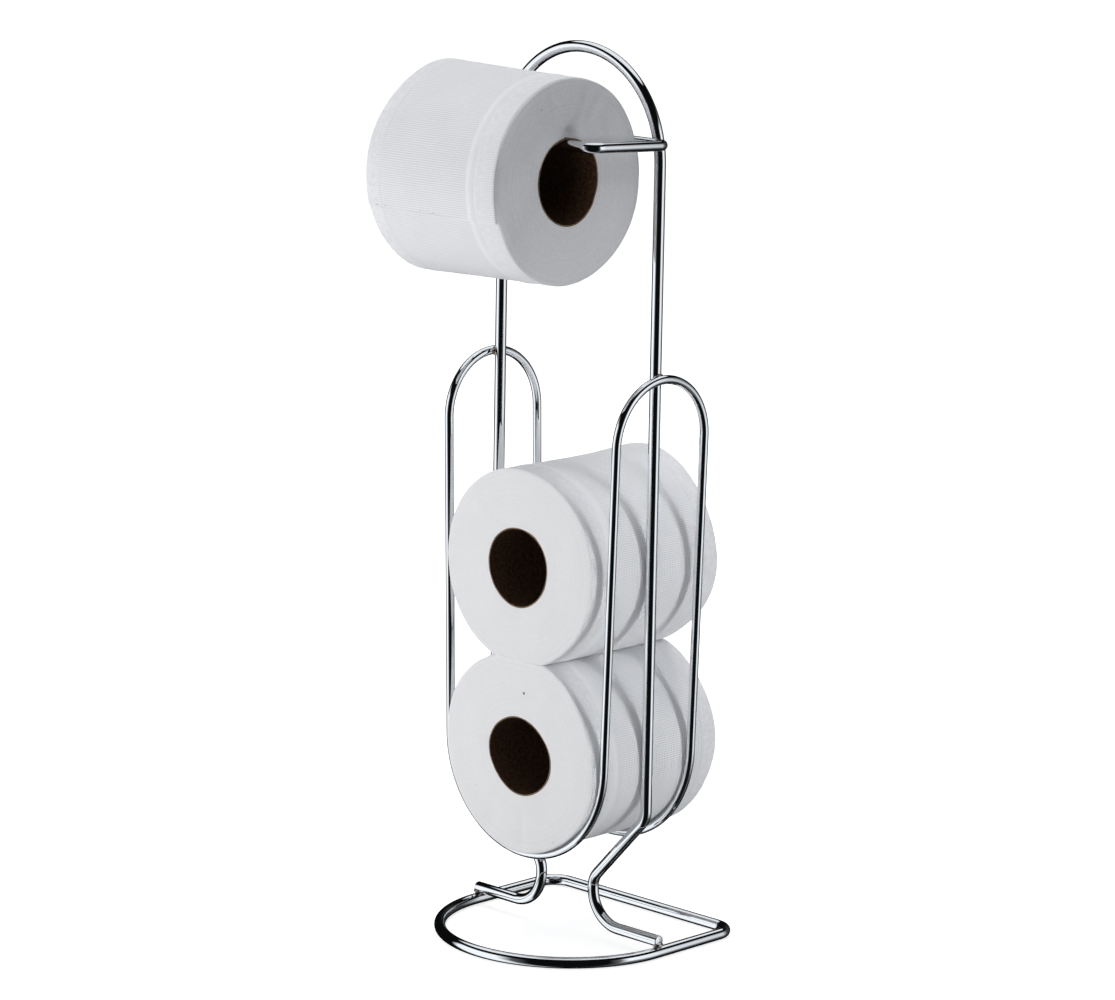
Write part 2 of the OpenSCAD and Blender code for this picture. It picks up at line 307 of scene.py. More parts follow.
def card(name, light, dark):
    """Spiral-wound board: fine fibres and a seam that climbs along the tube."""
    material, tree, shader = shaded(name, Roughness=0.9, Specular_IOR_Level=0.15)
    _, angle, along, wound = wound_place(tree)
    climb = plus(tree, calc(tree, "DIVIDE", angle, tau), times(tree, along, SEAM_CLIMB))
    seam = calc(tree, "LESS_THAN", calc(tree, "FRACT", climb), SEAM_WIDTH)
    fibres = fine_noise(tree, wound, CARD_FIBRE_SCALE, detail=5.0)
    colour = blend_colours(tree, spread(tree, fibres), dark, light)
    colour = blend_colours(tree, times(tree, seam, SEAM_STRENGTH), colour, dark)
    tree.links.new(colour, shader.inputs["Base Color"])
    relief(tree, shader, calc(tree, "SUBTRACT", fibres, seam), CARD_DEPTH, CARD_STRENGTH)
    return material


# Pieces
SHARP = radians(40)
TOUCHING = 1e-6


def keep(bm, name, body, materials, replaced):
    """Makes a finished mesh a piece that rides on a body and stands for one of its nodes."""
    bmesh.ops.remove_doubles(bm, verts=bm.verts, dist=TOUCHING)
    bmesh.ops.recalc_face_normals(bm, faces=bm.faces)
    mesh = bpy.data.meshes.new(name)
    bm.to_mesh(mesh)
    bm.free()
    for face in mesh.polygons:
        face.use_smooth = True
    mesh.set_sharp_from_angle(angle=SHARP)
    for material in materials:
        mesh.materials.append(material)
    piece = bpy.data.objects.new(name, mesh)
    bpy.context.scene.collection.objects.link(piece)
    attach(piece, body)
    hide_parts(replaced)


WIRE_SIDES = 48
BEND_STEP, LEAST_BEND_STEPS = radians(3), 4
CUT_EDGE = 0.45 * MM


def edges_of(parts):
    return [part for part in parts if isinstance(part, bmesh.types.BMEdge)]


def grow(bm, edges, step):
    """Extrudes an open ring of edges by a step, and returns the new ring."""
    grown = bmesh.ops.extrude_edge_only(bm, edges=edges)["geom"]
    verts = [part for part in grown if isinstance(part, bmesh.types.BMVert)]
    bmesh.ops.translate(bm, verts=verts, vec=step)
    return [edge for edge in edges_of(grown) if all(vert in verts for vert in edge.verts)]


def bent_wire(radius, start, heading, moves):
    """Draws a round wire that runs straight and then bends, once for each move.

    A move is (run, bend radius, degrees, axis). Returns the mesh and the rings at both ends.
    """
    bm = bmesh.new()
    here, heading = Vector(start), Vector(heading).normalized()
    turn = heading.to_track_quat("Z", "Y").to_matrix().to_4x4()
    matrix = Matrix.Translation(here) @ turn
    bmesh.ops.create_circle(bm, radius=radius, segments=WIRE_SIDES, matrix=matrix)
    first = edges = bm.edges[:]
    for run, bend, degrees, axis in moves:
        if run > 0:
            edges = grow(bm, edges, heading * run)
            here = here + heading * run
        if degrees:
            axis, angle = Vector(axis).normalized(), radians(degrees)
            centre = here + axis.cross(heading) * (bend if degrees > 0 else -bend)
            steps = max(LEAST_BEND_STEPS, round(abs(angle) / BEND_STEP))
            edges = edges_of(bmesh.ops.spin(
                bm, geom=edges, cent=centre, axis=axis, angle=angle, steps=steps, use_merge=False
            )["geom_last"])
            spin = Matrix.Rotation(angle, 3, axis)
            here = centre + spin @ (here - centre)
            heading = spin @ heading
    return bm, first, edges


def close_end(bm, ring):
    """Closes a cut wire end with a flat face whose edge is taken off."""
    rim = bmesh.ops.contextual_create(bm, geom=ring)["faces"][0].edges[:]
    bmesh.ops.bevel(
        bm, geom=rim, offset=CUT_EDGE, segments=3, profile=0.5, affect="EDGES", material=-1
    )


def mirror_over(bm, merge_dist):
    """Adds the other half of a shape that is alike left and right."""
    whole = bm.verts[:] + bm.edges[:] + bm.faces[:]
    bmesh.ops.mirror(bm, geom=whole, matrix=Matrix.Identity(4), merge_dist=merge_dist, axis="X")


def keep_wire(bm, name, node, material):
    keep(bm, name, "stand", [material], node)


# Bends and places that the frame's boxes don't give.
UPRIGHT_X, NECK_X = 60.0 * MM, 20.5 * MM
FOOT_BEND, NECK_RUN, NECK_BEND, NECK_LEAN = 20 * MM, 1 * MM, 12 * MM, 43.0
CORNER_BEND = 12 * MM
CRADLE_WIRE_R, CRADLE_ROUND = 2.5 * MM, 60.4 * MM
ARM_WIRE_R, ARM_BEND, ARM_X, ARM_RISE = 2.95 * MM, 7 * MM, 71 * MM, radians(2.3)
HALVES_MEET = 2e-6


def bend_frame(material):
    """Foot, neck, hip, upright and arch in one wire."""
    low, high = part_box("frame_wire")
    radius, lean = high.y, radians(NECK_LEAN)
    foot_z = low.z + radius
    slope = (UPRIGHT_X - NECK_X - 2 * NECK_BEND * (1 - cos(lean))) / sin(lean)
    hip_z = foot_z + FOOT_BEND + NECK_RUN + 2 * NECK_BEND * sin(lean) + slope * cos(lean)
    bm, foot, _ = bent_wire(radius, (high.x, 0, foot_z), -RIGHT, [
        (high.x - NECK_X - FOOT_BEND, FOOT_BEND, 90, BACK),
        (NECK_RUN, NECK_BEND, NECK_LEAN, BACK),
        (slope, NECK_BEND, -NECK_LEAN, BACK),
        (high.z - radius - UPRIGHT_X - hip_z, UPRIGHT_X, -90, BACK),
    ])
    close_end(bm, foot)
    mirror_over(bm, HALVES_MEET)
    keep_wire(bm, "bent_frame", "frame_wire", material)


def bend_floor_ring(material):
    """Straight back, round corners and half-round front."""
    low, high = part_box("base_wire")
    radius = (high.z - low.z) / 2
    half_width, back = high.x - radius, high.y - radius
    front_centre = low.y + radius + half_width
    bm, _, _ = bent_wire(radius, (0, back, low.z + radius), RIGHT, [
        (half_width - CORNER_BEND, CORNER_BEND, 90, -UP),
        (back - CORNER_BEND - front_centre, half_width, 90, -UP),
    ])
    mirror_over(bm, HALVES_MEET)
    keep_wire(bm, "floor_ring", "base_wire", material)


def bend_cradle(material):
    """Two U-shaped runs joined by an arch at each side."""
    low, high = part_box("cradle_wire")
    half_depth, arch_x = high.y - CRADLE_WIRE_R, high.x - CRADLE_WIRE_R
    bottom = low.z + CRADLE_WIRE_R
    rise = high.z - CRADLE_WIRE_R - bottom - CRADLE_ROUND
    lean = atan2(arch_x, rise) - asin(CRADLE_ROUND / hypot(arch_x, rise))
    leg = sqrt(arch_x ** 2 + rise ** 2 - CRADLE_ROUND ** 2) - half_depth
    leg_heading = Vector((sin(lean), 0, cos(lean)))
    quarter = 90 - lean * 180 / pi
    bm, _, _ = bent_wire(CRADLE_WIRE_R, (0, -half_depth, bottom), RIGHT, [
        (0, CRADLE_ROUND, quarter, -BACK),
        (leg, half_depth, 180, leg_heading.cross(BACK)),
        (leg, CRADLE_ROUND, quarter, BACK),
    ])
    mirror_over(bm, HALVES_MEET)
    keep_wire(bm, "bent_cradle", "cradle_wire", material)


def bend_arm(material):
    """Crossbar, side and rod in one wire, open at the left."""
    low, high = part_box("arm_wire")
    crossbar_y = high.y - ARM_WIRE_R
    reach = (crossbar_y - low.y - ARM_WIRE_R) / cos(ARM_RISE)
    flat = Vector((0, -sin(ARM_RISE), -cos(ARM_RISE)))
    start = (low.x, crossbar_y, low.z + ARM_WIRE_R)
    bm, left, rod = bent_wire(ARM_WIRE_R, start, RIGHT, [
        (ARM_X - ARM_BEND - low.x, ARM_BEND, 90, flat),
        (reach - 2 * ARM_BEND, ARM_BEND, 90, flat),
        (ARM_X - ARM_BEND + UPRIGHT_X, 0, 0, flat),
    ])
    close_end(bm, left)
    close_end(bm, rod)
    keep_wire(bm, "bent_arm", "arm_wire", material)


BEAD_ACROSS, BEAD_THROUGH = 3.0 * MM, 1.7 * MM
BEAD_RIPPLE, RIPPLE_SCALE = 0.1, 900
# Each weld's node and piece, and the direction from wire to wire: 0 is X, 1 is Y and 2 is Z.
CROSSINGS = (
    ("cradle_welds", "welds_of_cradle", 0),
    ("arm_welds", "welds_of_arm", 1),
    ("foot_welds", "welds_of_feet", 2),
)


def right_weld(node, through):
    """The middle of the right one of a node's two welds."""
    low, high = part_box(node)
    middle = (low + high) / 2
    if through == 0:
        cradle_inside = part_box("cradle_wire")[1].x - 2 * CRADLE_WIRE_R
        middle.x = (UPRIGHT_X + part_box("frame_wire")[1].y + cradle_inside) / 2
    else:
        plug_r = (high.z - low.z if through == 1 else high.y - low.y) / 2
        middle.x = high.x - plug_r
    return middle


def weld_beads(material):
    """A small rippled bead at each crossing, thin from wire to wire and wide across them."""
    for node, name, through in CROSSINGS:
        middle = right_weld(node, through)
        size = Vector((BEAD_ACROSS, BEAD_ACROSS, BEAD_ACROSS))
        size[through] = BEAD_THROUGH
        matrix = Matrix.Translation(middle) @ Matrix.Diagonal((*size, 1))
        bm = bmesh.new()
        bmesh.ops.create_icosphere(bm, subdivisions=4, radius=1.0, matrix=matrix)
        for vert in bm.verts:
            out = vert.co - middle
            ripple = noise.noise(out * RIPPLE_SCALE + RIGHT * through)
            vert.co = middle + out * (1 + BEAD_RIPPLE * ripple)
        mirror_over(bm, 0)
        keep(bm, name, "stand", [material], node)


SEAM_SWELL, SEAM_SINK, SEAM_STEPS = 0.3 * MM, 0.05 * MM, 10


def weld_floor_ring(material):
    """The collar of weld metal round the ring's butt joint, ground flat underneath."""
    low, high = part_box("base_seam_weld")
    ring_low, ring_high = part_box("base_wire")
    wire_r = (ring_high.z - ring_low.z) / 2
    centre = Vector((ring_low.x + wire_r, low.y, ring_low.z + wire_r))
    length = high.y - low.y
    matrix = Matrix.Translation(centre) @ Matrix.Rotation(pi / 2, 4, "X")
    bm = bmesh.new()
    bmesh.ops.create_circle(bm, radius=wire_r - SEAM_SINK, segments=WIRE_SIDES, matrix=matrix)
    first = ring = bm.edges[:]
    for _ in range(SEAM_STEPS):
        ring = grow(bm, ring, BACK * length / SEAM_STEPS)
    for edges in (first, ring):
        bmesh.ops.contextual_create(bm, geom=edges)
    for vert in bm.verts:
        out = Vector((vert.co.x - centre.x, 0, vert.co.z - centre.z))
        above = min(1, max(0, 1 + out.z / wire_r))
        swell = sin(pi * (vert.co.y - low.y) / length) * above
        vert.co += out.normalized() * (SEAM_SWELL + SEAM_SINK) * max(0, swell)
    keep(bm, "weld_of_floor_ring", "stand", [material], "base_seam_weld")


# Rolls. Each is drawn along its own +Z from 0 to its width, with +Y up, and then put in its place.
# skin gives the outline's radius and how far it is pressed flat, at an angle and at a share of the
# width. hole gives the card tube's radius at an angle.
Roll = namedtuple("Roll", "name place radius width skin hole seed")

SPIN_STEPS = 180
LAYER_RINGS, SKIN_ROWS, TUBE_ROWS = 26, 99, 12
ROLL_EDGE, PRESSED_EDGE = 1.4 * MM, 0.5
PRESS_SOFT, PRESS_GAP, PRESS_FADE = 1.2 * MM, 0.02 * MM, 1.2 * MM
CORE_R, CARD_WALL = 23.3 * MM, 0.8 * MM
GROOVE_DEPTH, GROOVE_SOFT = 0.28 * MM, 1 * MM
RIDGE_HEIGHT, RIDGE_SOFT = 0.3 * MM, 2 * MM
RIDGE_LINES, RIDGE_LINES_SOFT = 0.6, 0.9 * MM
SPUN_TOUCHING = 1e-7
# A face whose normal points this much along the roll belongs to the roll's end.
ENDWARD = 0.8


def bell(gap, spread_over):
    """A smooth bump of height 1 where the gap is 0."""
    return exp(-(gap / spread_over) ** 2)


def bumps(angle, *given):
    """The sum of smooth bumps round a roll, each given as (degrees, half width, height)."""
    total = 0.0
    for degrees, half_width, height in given:
        gap = angle - radians(degrees)
        total += height * bell(atan2(sin(gap), cos(gap)), radians(half_width))
    return total


def waved(base, *waves):
    """A closed outline: a circle with (waves round it, height, degrees of the crest)."""
    def radius(angle):
        return base + sum(
            height * cos(count * (angle - radians(crest))) for count, height, crest in waves
        )
    return radius


def soft_limit(value, limit):
    """Keeps a value under a limit, with a soft corner."""
    overlap = max(PRESS_SOFT - abs(value - limit), 0) / PRESS_SOFT
    return min(value, limit) - overlap * overlap * PRESS_SOFT / 4


def embossed_bands(along, width):
    """How far the smooth ridge stands up, less the groove and the lines beside the ridge."""
    past_end = along - width
    ridge = bell(past_end + (ROUGH_BAND + RIDGE_BAND) / 2, RIDGE_SOFT)
    lines = sum(bell(past_end + band, RIDGE_LINES_SOFT) for band in (ROUGH_BAND, RIDGE_BAND))
    groove = bell(along - GROOVE_AT, GROOVE_SOFT)
    return RIDGE_HEIGHT * ridge - GROOVE_DEPTH * (groove + RIDGE_LINES * lines)


def spin_section(corners):
    """Spins a closed section of (way from the axis, way along) corners into a body."""
    bm = bmesh.new()
    verts = [bm.verts.new((x, 0, z)) for x, z in corners]
    for first, second in zip(verts, verts[1:] + verts[:1]):
        bm.edges.new((first, second))
    bmesh.ops.spin(
        bm, geom=bm.verts[:] + bm.edges[:], cent=(0, 0, 0), axis=(0, 0, 1), angle=tau,
        steps=SPIN_STEPS, use_merge=True,
    )
    bmesh.ops.remove_doubles(bm, verts=bm.verts, dist=SPUN_TOUCHING)
    return bm


def from_axis(vert):
    return hypot(vert.co.x, vert.co.y)


def polar(away, angle, along):
    return Vector((away * cos(angle), away * sin(angle), along))


def edges_along(bm, least_radius, shortest):
    """The edges that run along the roll outside a radius."""
    return [
        edge for edge in bm.edges
        if abs(edge.verts[0].co.z - edge.verts[1].co.z) > shortest
        and from_axis(edge.verts[0]) > least_radius
    ]


def split(bm, edges, cuts):
    bmesh.ops.subdivide_edges(bm, edges=edges, cuts=cuts, use_grid_fill=True)


def mark_ends(bm):
    """Gives the faces at both ends of a roll their second material."""
    for face in bm.faces:
        face.material_index = 1 if abs(face.normal.z) > ENDWARD else 0


def mark_wound(bm):
    """Notes each vertex's place before the roll is pressed, for patterns that follow the paper."""
    wound = bm.verts.layers.float_vector.new("wound")
    for vert in bm.verts:
        vert[wound] = vert.co.copy()


# How far the outermost layer wanders slowly, from row to row and in patches, and how fast each
# of these changes round the roll and along it.
SLOW_WANDER, SLOW_ROUND, SLOW_ALONG = 0.3 * MM, 1.3, 12
ROW_WANDER, ROW_ALONG = 0.12 * MM, 160
PATCH_WANDER, PATCH_ROUND, PATCH_ALONG = 0.1 * MM, 9, 60


def wander(around, along, seed):
    """The outermost layer's unevenness."""
    slow = SLOW_WANDER * noise.noise(around * SLOW_ROUND + UP * (along * SLOW_ALONG + seed))
    rows = ROW_WANDER * noise.noise(UP * (along * ROW_ALONG + seed))
    patches = PATCH_WANDER * noise.noise(around * PATCH_ROUND + UP * (along * PATCH_ALONG))
    return slow + rows + patches


SHORTEST_SPOKE = 5 * MM


def tissue_block(radius, width):
    """A plain roll of paper with rounded rims, split finely enough to be pressed and creased."""
    bm = spin_section([(CORE_R, 0), (radius, 0), (radius, width), (CORE_R, width)])
    rims = [
        edge for edge in bm.edges
        if all(abs(from_axis(vert) - radius) < TOUCHING for vert in edge.verts)
        and edge.verts[0].co.z == edge.verts[1].co.z
    ]
    bmesh.ops.bevel(
        bm, geom=rims, offset=ROLL_EDGE, segments=6, profile=0.5, affect="EDGES", material=-1
    )
    spokes = [
        edge for edge in bm.edges
        if abs(from_axis(edge.verts[0]) - from_axis(edge.verts[1])) > SHORTEST_SPOKE
    ]
    split(bm, spokes, LAYER_RINGS)
    split(bm, edges_along(bm, radius - ROLL_EDGE / 2, width / 2), SKIN_ROWS)
    return bm


# The skin's relief reaches in over this share of the layers, and a rim holds back this share of
# the relief of its end.
SKIN_REACH, RIM_CALM = 0.25, 0.8


def wind_tissue(roll, relief_at, materials):
    """The wound tissue, pressed to its outlines, with embossed bands and creased ends."""
    bm = tissue_block(roll.radius, roll.width)
    mark_ends(bm)
    mark_wound(bm)
    for vert in bm.verts:
        away, angle, along = from_axis(vert), atan2(vert.co.y, vert.co.x), vert.co.z
        way = along / roll.width
        edge_in, near = min(along, roll.width - along), 1 if way > 0.5 else 0
        limit, pressed = roll.skin(angle, way)
        if edge_in < ROLL_EDGE and away > roll.radius - ROLL_EDGE:
            sharp = 1 - (1 - PRESSED_EDGE) * pressed
            away = roll.radius - (roll.radius - away) * sharp
            along = roll.width - edge_in * sharp if near else edge_in * sharp
        share = (away - CORE_R) / (roll.radius - CORE_R)
        outer = max(0.0, 1 - (1 - share) / SKIN_REACH)
        ring = roll.hole(angle) * (1 - share) + limit * share
        uneven = embossed_bands(along, roll.width) + wander(polar(1, angle, 0), along, roll.seed)
        ring += outer * uneven * (1 - pressed)
        if edge_in < ROLL_EDGE:
            along += relief_at(share, angle, near) * (1 - RIM_CALM * outer * outer)
        vert.co = polar(ring, angle, along)
    bmesh.ops.transform(bm, matrix=roll.place, verts=bm.verts)
    keep(bm, roll.name + "_tissue", roll.name, materials, roll.name + "_paper")


CUT_RAGGED, RAGS_ROUND = 0.25 * MM, 3


def wind_tube(roll, materials):
    """The card tube inside a roll, a little uneven at its cut ends."""
    inside = CORE_R - CARD_WALL
    bm = spin_section([(inside, 0), (CORE_R, 0), (CORE_R, roll.width), (inside, roll.width)])
    split(bm, edges_along(bm, 0, roll.width / 2), TUBE_ROWS)
    mark_ends(bm)
    mark_wound(bm)
    for vert in bm.verts:
        angle, along = atan2(vert.co.y, vert.co.x), vert.co.z
        ring = roll.hole(angle) - (CORE_R - from_axis(vert))
        ragged = noise.noise(polar(RAGS_ROUND, angle, roll.seed + along))
        vert.co = polar(ring, angle, along + CUT_RAGGED * ragged)
    bmesh.ops.transform(bm, matrix=roll.place, verts=bm.verts)
    keep(bm, roll.name + "_card_tube", roll.name, materials, roll.name + "_core")


# The relief of a roll's ends: its heights, and how fast it changes round the end and outward.
LAYER_STEP, STEPS_OUT = 0.22 * MM, 26
CREASE_DEPTH, CREASES_ROUND, CREASES_OUT = 1.1 * MM, 5.5, 0.8
CREASE_FROM, CREASE_AT_CORE = 0.12, 0.25
END_WAVE, WAVES_ROUND, WAVES_OUT = 0.6 * MM, 1.4, 2.5
DENT_RING = 32 * MM


def creased_ends(seed, slips=((), ()), dents=()):
    """Relief of a roll's ends: stepped layers, soft waves, creases from the core outward and dents.

    slips are the bumps of its far and near rims, and dents are (x, y, size, depth) near its core.
    """
    def relief_at(share, angle, near):
        around = polar(1, angle, 0)
        steps = LAYER_STEP * noise.noise(Vector((share * STEPS_OUT, seed, near)))
        place = Vector((seed, share * CREASES_OUT, near))
        folds = noise.noise(around * CREASES_ROUND + place)
        creases = CREASE_DEPTH * max(0.0, folds - CREASE_FROM) * (CREASE_AT_CORE + share)
        place = Vector((seed, near, share * WAVES_OUT))
        waves = END_WAVE * noise.noise(around * WAVES_ROUND + place)
        height = steps - creases + waves + bumps(angle, *slips[near]) * share * share
        here = around * (CORE_R + share * DENT_RING)
        for x, y, size, depth in dents:
            height -= near * depth * bell(hypot(here.x - x, here.y - y), size)
        return height if near else -height
    return relief_at


# The roll's last sheet: where it leaves the roll, and its torn end on the far and near side.
SHEET_START, SHEET_ENDS = 53, (198.5, 199.5)
SHEET_GAP, SHEET_T, SHEET_SUNK, SHEET_INSET = 0.1 * MM, 0.2 * MM, 0.3 * MM, 0.3 * MM
SHEET_RISE, SHEET_LIFT, SHEET_CURL = 6, 0.75 * MM, 24
SHEET_ROWS, SHEET_STEPS, SHEET_SEED = 140, 100, 5.0
# How ragged the tear is, in degrees, and how fast that changes along it.
FINE_TEAR, FINE_ALONG = 0.45, 900
SLOW_TEAR, SLOW_TEAR_ALONG = 0.8, 60
NICKS, NICK_DEPTH, NICK_WIDTH = (8 * MM, 14 * MM, 41 * MM, 51 * MM), 1.5, 0.9 * MM


def torn_end(along, way):
    """The angle in degrees at which the last sheet ends."""
    fine = FINE_TEAR * noise.noise(Vector((along * FINE_ALONG, SHEET_SEED, 0)))
    slow = SLOW_TEAR * noise.noise(Vector((along * SLOW_TEAR_ALONG, SHEET_SEED, 3)))
    nicks = sum(NICK_DEPTH * bell(along - nick, NICK_WIDTH) for nick in NICKS)
    return SHEET_ENDS[0] * (1 - way) + SHEET_ENDS[1] * way + fine + slow - nicks


def last_sheet(roll, material):
    """The last sheet, which starts just under the roll's skin and lifts a little at its torn end.

    It is spun through one radian first, so that a vertex's angle is its share of the way round.
    """
    bm = bmesh.new()
    rows = range(SHEET_ROWS + 1)
    verts = [bm.verts.new((roll.radius, 0, roll.width * row / SHEET_ROWS)) for row in rows]
    for first, second in zip(verts, verts[1:]):
        bm.edges.new((first, second))
    bmesh.ops.spin(
        bm, geom=bm.verts[:] + bm.edges[:], cent=(0, 0, 0), axis=(0, 0, 1), angle=1.0,
        steps=SHEET_STEPS,
    )
    bmesh.ops.remove_doubles(bm, verts=bm.verts, dist=SPUN_TOUCHING)
    wound = bm.verts.layers.float_vector.new("wound")
    for vert in bm.verts:
        share, along, way = atan2(vert.co.y, vert.co.x), vert.co.z, vert.co.z / roll.width
        angle = radians(SHEET_START + (torn_end(along, way) - SHEET_START) * share)
        inset = min(max(along, SHEET_INSET), roll.width - SHEET_INSET)
        in_rim = max(0.0, ROLL_EDGE - min(inset, roll.width - inset))
        drop = ROLL_EDGE - sqrt(ROLL_EDGE ** 2 - in_rim ** 2)
        ring = roll.skin(angle, way)[0] - drop + embossed_bands(along, roll.width)
        ring += (SHEET_GAP + SHEET_SUNK) * min(1, share * SHEET_RISE) - SHEET_SUNK
        ring += SHEET_LIFT * share ** SHEET_CURL
        vert[wound] = polar(roll.radius, angle, along)
        vert.co = polar(ring, angle, inset)
    bmesh.ops.recalc_face_normals(bm, faces=bm.faces)
    middle = bm.faces[:][len(bm.faces) // 2]
    centre = middle.calc_center_median()
    if middle.normal.dot(Vector((centre.x, centre.y, 0))) < 0:
        bmesh.ops.reverse_faces(bm, faces=bm.faces)
    bmesh.ops.solidify(bm, geom=bm.faces[:], thickness=-SHEET_T)
    bmesh.ops.transform(bm, matrix=roll.place, verts=bm.verts)
    keep(bm, roll.name + "_last_sheet", roll.name, [material], roll.name + "_tail")


def placed(x, y, z, origin):
    """The matrix that puts a roll's own X, Y and Z along three directions."""
    return Matrix.Translation(origin) @ Matrix((x, y, z)).transposed().to_4x4()


# Painted shade: the tube's wall is coloured near black, as the shade deep in its hole, while its
# cut ends are coloured a lighter brown.
BOARD_IN_SHADE_LIGHT, BOARD_IN_SHADE_DARK = (0.085, 0.045, 0.025), (0.03, 0.014, 0.008)
BOARD_CUT_LIGHT, BOARD_CUT_DARK = (0.24, 0.165, 0.115), (0.13, 0.085, 0.055)


def tube_materials():
    return [
        # The wall's colours are painted shade.
        card("card_board_painted_shade", BOARD_IN_SHADE_LIGHT, BOARD_IN_SHADE_DARK),
        card("card_cut_edge", BOARD_CUT_LIGHT, BOARD_CUT_DARK),
    ]


# What sets the stored rolls apart. up is 1 where the other roll lies on top, and -1 where it lies
# underneath. Flecks are (x, y, size, strength) on the near end.
Form = namedtuple("Form", "up seed hole far_bumps near_bumps flecks")
STORED_FORMS = {
    "lower_roll": Form(
        up=1,
        seed=3.0,
        hole=waved(23.05 * MM, (1, 2.2 * MM, -55), (2, 1.3 * MM, -20), (4, 0.29 * MM, -5)),
        far_bumps=((5, 25, 2.6 * MM),),
        near_bumps=((150, 28, 2.0 * MM), (-22, 24, 2.5 * MM)),
        flecks=(
            (4.1 * MM, 37.4 * MM, 0.85 * MM, 0.9),
            (-33.7 * MM, -25.6 * MM, 0.5 * MM, 0.2),
            (27.9 * MM, -44.7 * MM, 0.5 * MM, 0.3),
        ),
    ),
    "upper_roll": Form(
        up=-1,
        seed=11.0,
        hole=waved(22.75 * MM, (1, 0.42 * MM, -135), (2, 0.23 * MM, 2), (3, 0.25 * MM, 31)),
        far_bumps=((76, 30, 2.4 * MM), (-8, 26, 2.4 * MM), (-52, 20, -1.6 * MM)),
        near_bumps=((-142, 24, 0.4 * MM), (92, 32, -1.3 * MM)),
        flecks=((-30 * MM, 12 * MM, 0.35 * MM, 0.12),),
    ),
}
# The stored rolls' end colours: the darker one is partly painted shade in the low places of the
# ends' relief.
STORED_END_LIGHT, STORED_END_SHADE = (0.83, 0.83, 0.84), (0.775, 0.775, 0.79)
# The shares of the width over which the far end's bumps fade and the near end's rise. The lip is
# where the lower roll bulges at its bottom, in front of the cradle's front run.
FAR_BULGE, NEAR_BULGE = 0.26, 0.4
LIP, LIP_RISE, LIP_ROUND = 1.6 * MM, 0.012, (-85, 48, 1.0)


def pressed_skin(form, radius, flat, lip_from):
    """A stored roll's outline, pressed flat where it meets the other roll."""
    def skin(angle, way):
        far, near = max(0.0, 1 - way / FAR_BULGE), min(1.0, way / NEAR_BULGE)
        full = radius + bumps(angle, *form.far_bumps) * far + bumps(angle, *form.near_bumps) * near
        if form.up > 0:
            risen = min(1.0, max(0.0, (way - lip_from) / LIP_RISE))
            full += LIP * risen * bumps(angle, LIP_ROUND)
        height = form.up * full * sin(angle)
        held = soft_limit(height, flat)
        pressed = min(1.0, max(0.0, (height - held) / PRESS_FADE))
        return full * (held / height if height > flat / 2 else 1), pressed
    return skin


def stored_rolls(boards):
    """The two rolls in the cradle."""
    low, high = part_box("lower_roll_paper")
    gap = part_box("upper_roll_paper")[0].z - high.z
    lip_from = (high.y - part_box("cradle_wire")[0].y) / (high.y - low.y)
    for name, form in STORED_FORMS.items():
        low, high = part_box(name + "_paper")
        radius, width = high.x, high.y - low.y
        middle_z = low.z + radius if form.up > 0 else high.z - radius
        flat = (high.z - middle_z if form.up > 0 else middle_z - low.z) + (gap - PRESS_GAP) / 2
        place = placed(RIGHT, UP, -BACK, Vector((0, high.y, middle_z)))
        skin = pressed_skin(form, radius, flat, lip_from)
        roll = Roll(name, place, radius, width, skin, form.hole, form.seed)
        paper = [
            tissue_skin(name + "_skin", radius, width),
            tissue_edges(name + "_edges", STORED_END_LIGHT, STORED_END_SHADE, width, form.flecks),
        ]
        wind_tissue(roll, creased_ends(form.seed), paper)
        wind_tube(roll, boards)


# The roll in use. Its outline is uneven all along, and more so toward its far end. The outer
# layers of its ends have slipped, mostly toward the right, and the rod has pinched its core.
USED_SEED = 21.0
USED_BUMPS = ((262, 36, 1.0 * MM), (328, 26, 1.3 * MM), (50, 20, 1.1 * MM))
USED_FAR_BUMPS = ((80, 27, 2.8 * MM), (270, 45, 1.8 * MM), (130, 24, -1.2 * MM))
USED_FAR_FADE = 1.3
USED_FAR_SLIP = ((0, 400, 1.2 * MM),)
USED_NEAR_SLIP = (
    (0, 400, 1.1 * MM), (-10, 70, 0.8 * MM), (128, 22, 0.9 * MM),
    (179, 16, -3.3 * MM), (204, 11, 3.0 * MM), (238, 18, -1.6 * MM),
)
USED_PINCH = (3.5 * MM, 25 * MM, 5 * MM, 5 * MM)
USED_HOLE = waved(
    23.24 * MM, (1, 0.7 * MM, -30), (2, 0.54 * MM, 98), (3, 0.19 * MM, 36), (4, 0.17 * MM, 28)
)
# Its end colours: the darker one is partly painted shade in the low places of the ends' relief, and
# darker than on the stored rolls.
USED_END_LIGHT, USED_END_SHADE = (0.825, 0.83, 0.85), (0.715, 0.72, 0.745)
USED_FLECK = (-21.6 * MM, 39.4 * MM, 0.45 * MM, 0.5)


def roll_in_use(boards):
    """The roll on the arm, with its last sheet."""
    low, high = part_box("top_roll_paper")
    radius, width, middle = (high.y - low.y) / 2, high.x - low.x, (low + high) / 2

    def skin(angle, way):
        far = bumps(angle, *USED_FAR_BUMPS) * max(0.0, 1 - way) ** USED_FAR_FADE
        return radius + far + bumps(angle, *USED_BUMPS), 0.0

    place = placed(BACK, UP, RIGHT, Vector((low.x, middle.y, middle.z)))
    roll = Roll("top_roll", place, radius, width, skin, USED_HOLE, USED_SEED)
    paper = [
        tissue_skin("top_roll_skin", radius, width),
        tissue_edges("top_roll_edges", USED_END_LIGHT, USED_END_SHADE, width, (USED_FLECK,)),
    ]
    ends = creased_ends(USED_SEED, (USED_FAR_SLIP, USED_NEAR_SLIP), (USED_PINCH,))
    wind_tissue(roll, ends, paper)
    wind_tube(roll, boards)
    last_sheet(roll, paper[0])


